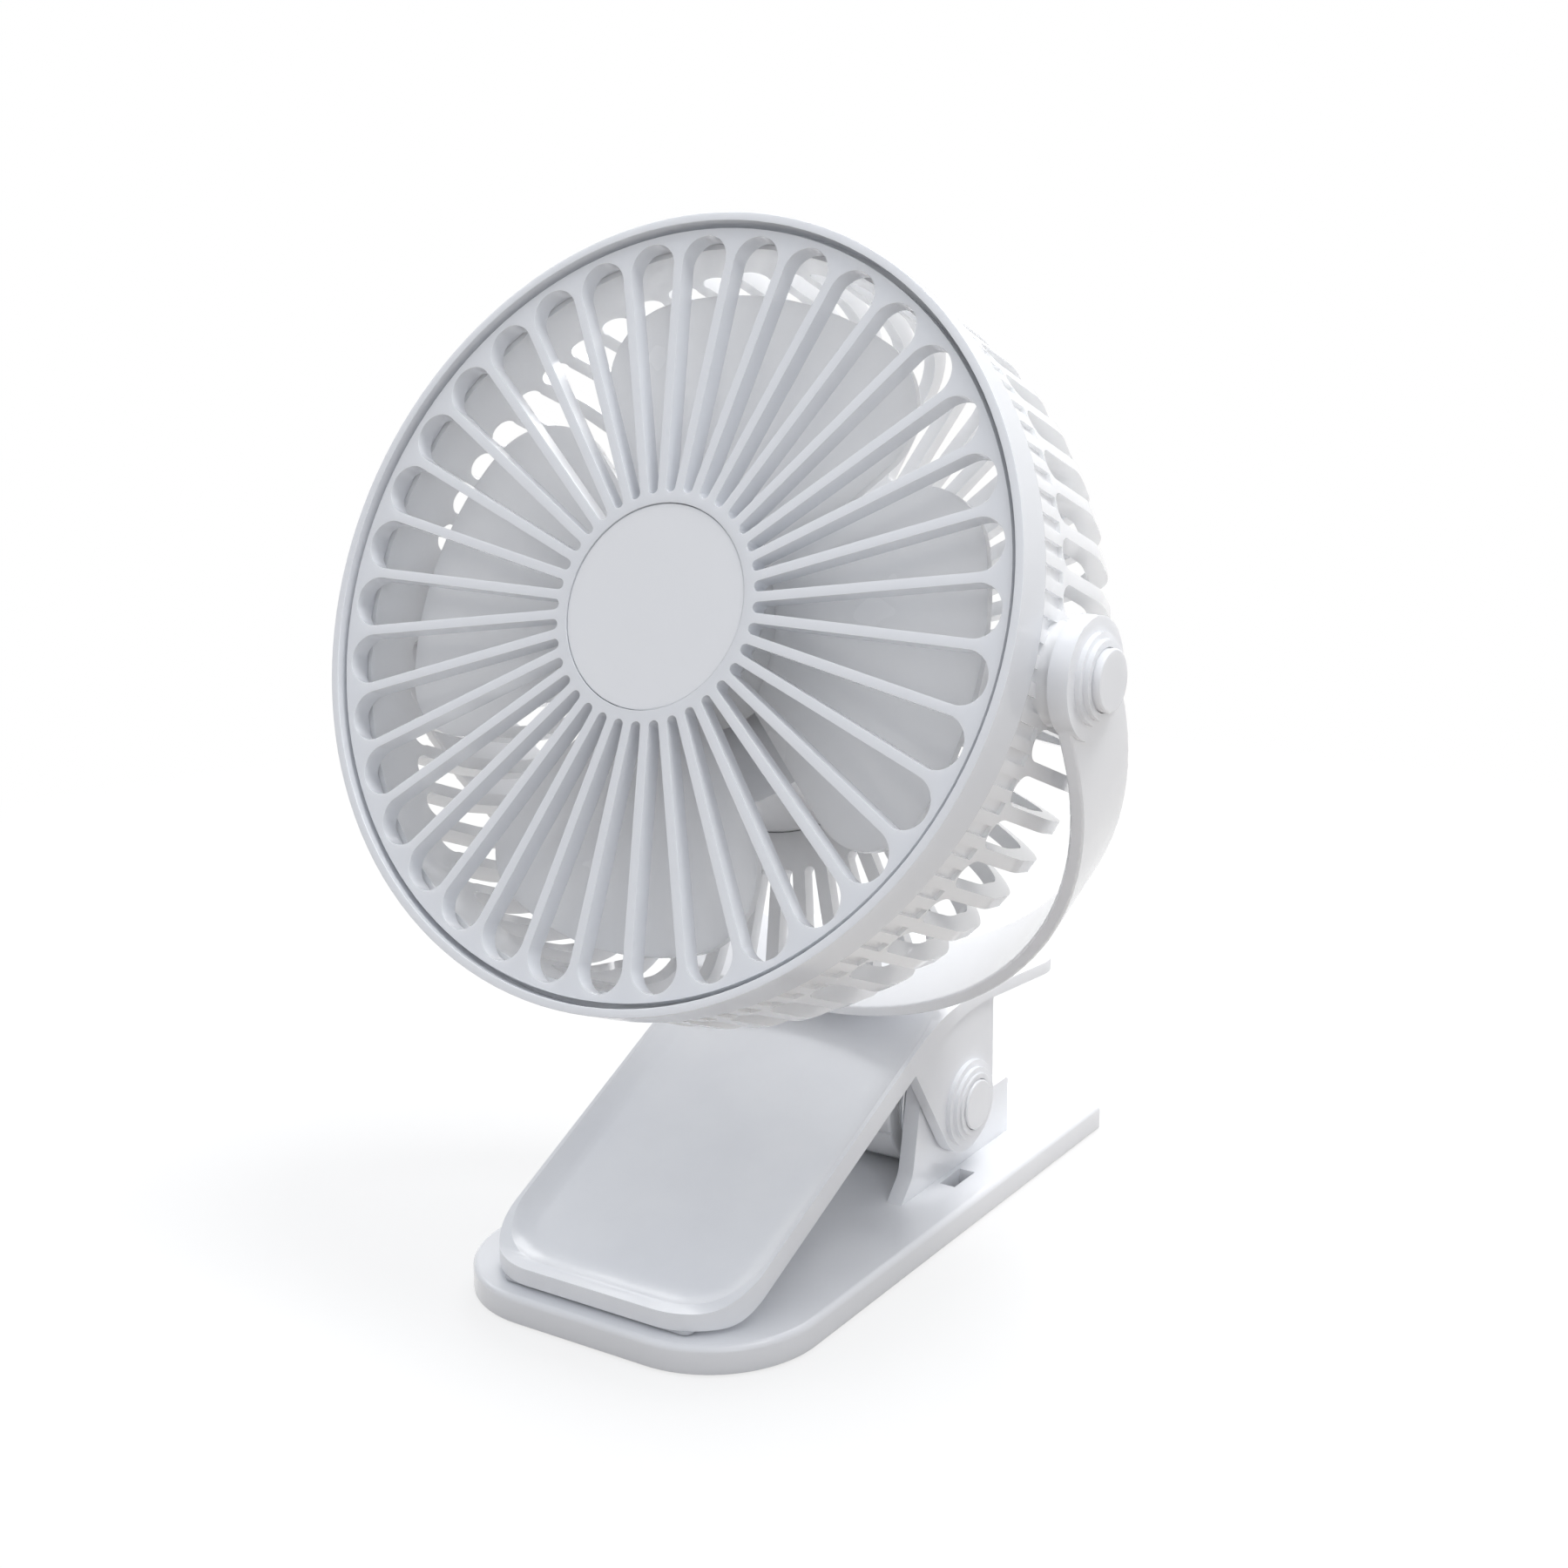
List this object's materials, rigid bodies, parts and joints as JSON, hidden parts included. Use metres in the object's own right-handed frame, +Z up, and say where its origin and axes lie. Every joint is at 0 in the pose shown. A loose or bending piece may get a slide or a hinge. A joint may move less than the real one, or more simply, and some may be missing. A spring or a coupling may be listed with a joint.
{
  "type": "clip fan",
  "caption": "Round fan head with a radial grille that tilts in a hooped yoke, which swivels on the sprung upper jaw of a flat clip base.",
  "frame": {"origin": "centre of the underside of the base pad, on the surface that the fan stands on", "axes": "+X to the right of someone facing the fan, -Y towards that person (the way the fan blows), +Z up"},
  "size_m": [0.168, 0.1451, 0.2049],
  "materials": {
    "white_shell": "glossy cool white moulding",
    "grey_shell": "glossy light grey moulding",
    "blade_plastic": "glossy pale moulding",
    "slip_plastic": "satin slip plastic",
    "dark_rubber": "matt dark rubber",
    "clear_rubber": "matt pale rubber",
    "steel": "bright steel",
    "spring_steel": "plated spring wire",
    "copper": "enamelled copper and sintered bronze",
    "magnet": "dark bonded magnet",
    "board": "green board",
    "cell_wrap": "grey foil wrap",
    "foam": "black foam and switch body"
  },
  "bodies": {
    "base": {"base_plate": "white_shell", "base_pad": "dark_rubber", "hinge_pin": "steel", "spring_drum": "grey_shell", "clip_spring": "spring_steel"},
    "jaw": {"clip_arm": "white_shell", "jaw_pad": "clear_rubber", "hinge_cap_left": "white_shell", "hinge_cap_right": "white_shell", "swivel_washer": "slip_plastic", "swivel_screw": "steel"},
    "hoop": {"yoke": "white_shell", "tilt_pin_left": "steel", "tilt_pin_right": "steel", "tilt_cap_left": "white_shell", "tilt_cap_right": "white_shell"},
    "head": {"front_bezel": "white_shell", "front_grille": "white_shell", "hub_disc": "white_shell", "rear_cage": "white_shell", "motor_housing": "white_shell", "rear_cover": "white_shell", "housing_screws": "steel", "battery": "cell_wrap", "battery_foam": "foam", "circuit_board": "board", "charging_port": "steel", "button_switch": "foam", "motor_stator": "steel", "motor_windings": "copper", "bearing_tube": "copper", "rear_bearing": "steel", "front_bearing": "steel"},
    "rotor": {"impeller": "blade_plastic", "rotor_cup": "steel", "rotor_magnet": "magnet", "motor_shaft": "steel"},
    "button": {"power_button": "grey_shell"}
  },
  "joints": [
    {"name": "clip_open", "type": "hinge", "parent": "base", "child": "jaw", "pos_m": [0, 0.0231, 0.0214], "axis": [-1, 0, 0], "range_deg": [0, 30], "stiffness_Nm_per_rad": 0.6, "springref_deg": -34.38, "deforming": ["clip_spring"]},
    {"name": "yoke_swivel", "type": "hinge", "parent": "jaw", "child": "hoop", "pos_m": [0, 0.01281, 0.04694], "axis": [0, -0.4226, 0.9063], "continuous": true},
    {"name": "head_tilt", "type": "hinge", "parent": "hoop", "child": "head", "pos_m": [0, -0.0248, 0.1276], "axis": [-1, 0, 0], "continuous": true},
    {"name": "impeller_spin", "type": "hinge", "parent": "head", "child": "rotor", "pos_m": [0, -0.0248, 0.1276], "axis": [0, -0.9191, 0.3939], "continuous": true},
    {"name": "power_press", "type": "slide", "parent": "head", "child": "button", "axis": [0, -0.9191, 0.3939], "range_m": [0, 0.0006], "stiffness_N_per_m": 1200, "springref_m": -0.0004}
  ]
}
